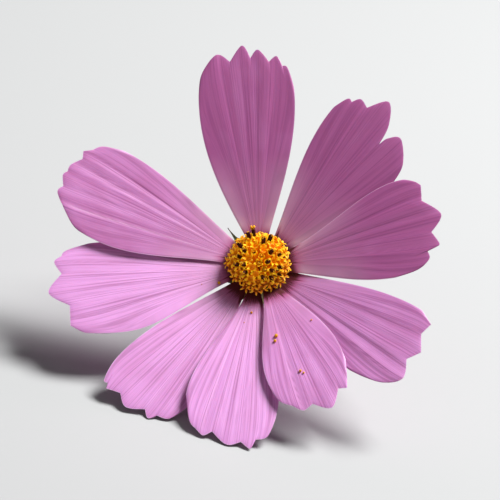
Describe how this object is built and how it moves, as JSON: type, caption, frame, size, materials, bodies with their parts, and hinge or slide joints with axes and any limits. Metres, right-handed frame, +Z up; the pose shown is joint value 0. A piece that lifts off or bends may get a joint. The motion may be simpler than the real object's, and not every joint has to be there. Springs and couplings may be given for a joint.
{
  "type": "cosmos flower",
  "caption": "Picked cosmos flower lying on a surface: pink-lilac fan-shaped petals round a domed golden disc, with green bracts and a curved cut stem.",
  "frame": {"origin": "on the surface that the flower lies on, under the centre of its bounding box", "axes": "+Z up from the surface, +Y along the stem away from the face, +X to the right of someone who faces the flower"},
  "size_m": [0.0742, 0.132, 0.055],
  "materials": {
    "petal": "soft matt pink-lilac petal, translucent, with fine ribs, paler at its claw and dark at its very base",
    "outer_bract": "matt green, reddish at the tip",
    "inner_bract": "thin, translucent, brownish with green ribs",
    "disc_floret": "waxy golden orange, with dark maroon anther columns",
    "receptacle": "matt fresh green",
    "stem": "satin fresh green, finely ribbed"
  },
  "bodies": {
    "root": {"petal_1": "petal", "petal_2": "petal", "petal_3": "petal", "petal_4": "petal", "petal_5": "petal", "petal_6": "petal", "petal_7": "petal", "petal_8": "petal", "petal_9": "petal", "outer_bract_1": "outer_bract", "outer_bract_2": "outer_bract", "outer_bract_3": "outer_bract", "outer_bract_4": "outer_bract", "outer_bract_5": "outer_bract", "outer_bract_6": "outer_bract", "outer_bract_7": "outer_bract", "outer_bract_8": "outer_bract", "inner_bract_1": "inner_bract", "inner_bract_2": "inner_bract", "inner_bract_3": "inner_bract", "inner_bract_4": "inner_bract", "inner_bract_5": "inner_bract", "inner_bract_6": "inner_bract", "inner_bract_7": "inner_bract", "inner_bract_8": "inner_bract", "receptacle": "receptacle", "stem": "stem", "disc_floret_1": "disc_floret", "disc_floret_2": "disc_floret", "disc_floret_3": "disc_floret", "disc_floret_4": "disc_floret", "disc_floret_5": "disc_floret", "disc_floret_6": "disc_floret", "disc_floret_7": "disc_floret", "disc_floret_8": "disc_floret", "disc_floret_9": "disc_floret", "disc_floret_10": "disc_floret", "disc_floret_11": "disc_floret", "disc_floret_12": "disc_floret", "disc_floret_13": "disc_floret", "disc_floret_14": "disc_floret", "disc_floret_15": "disc_floret", "disc_floret_16": "disc_floret", "disc_floret_17": "disc_floret", "disc_floret_18": "disc_floret", "disc_floret_19": "disc_floret", "disc_floret_20": "disc_floret", "disc_floret_21": "disc_floret", "disc_floret_22": "disc_floret", "disc_floret_23": "disc_floret", "disc_floret_24": "disc_floret", "disc_floret_25": "disc_floret", "disc_floret_26": "disc_floret", "disc_floret_27": "disc_floret", "disc_floret_28": "disc_floret", "disc_floret_29": "disc_floret", "disc_floret_30": "disc_floret", "disc_floret_31": "disc_floret", "disc_floret_32": "disc_floret", "middle_buds": "disc_floret"}
  },
  "joints": []
}
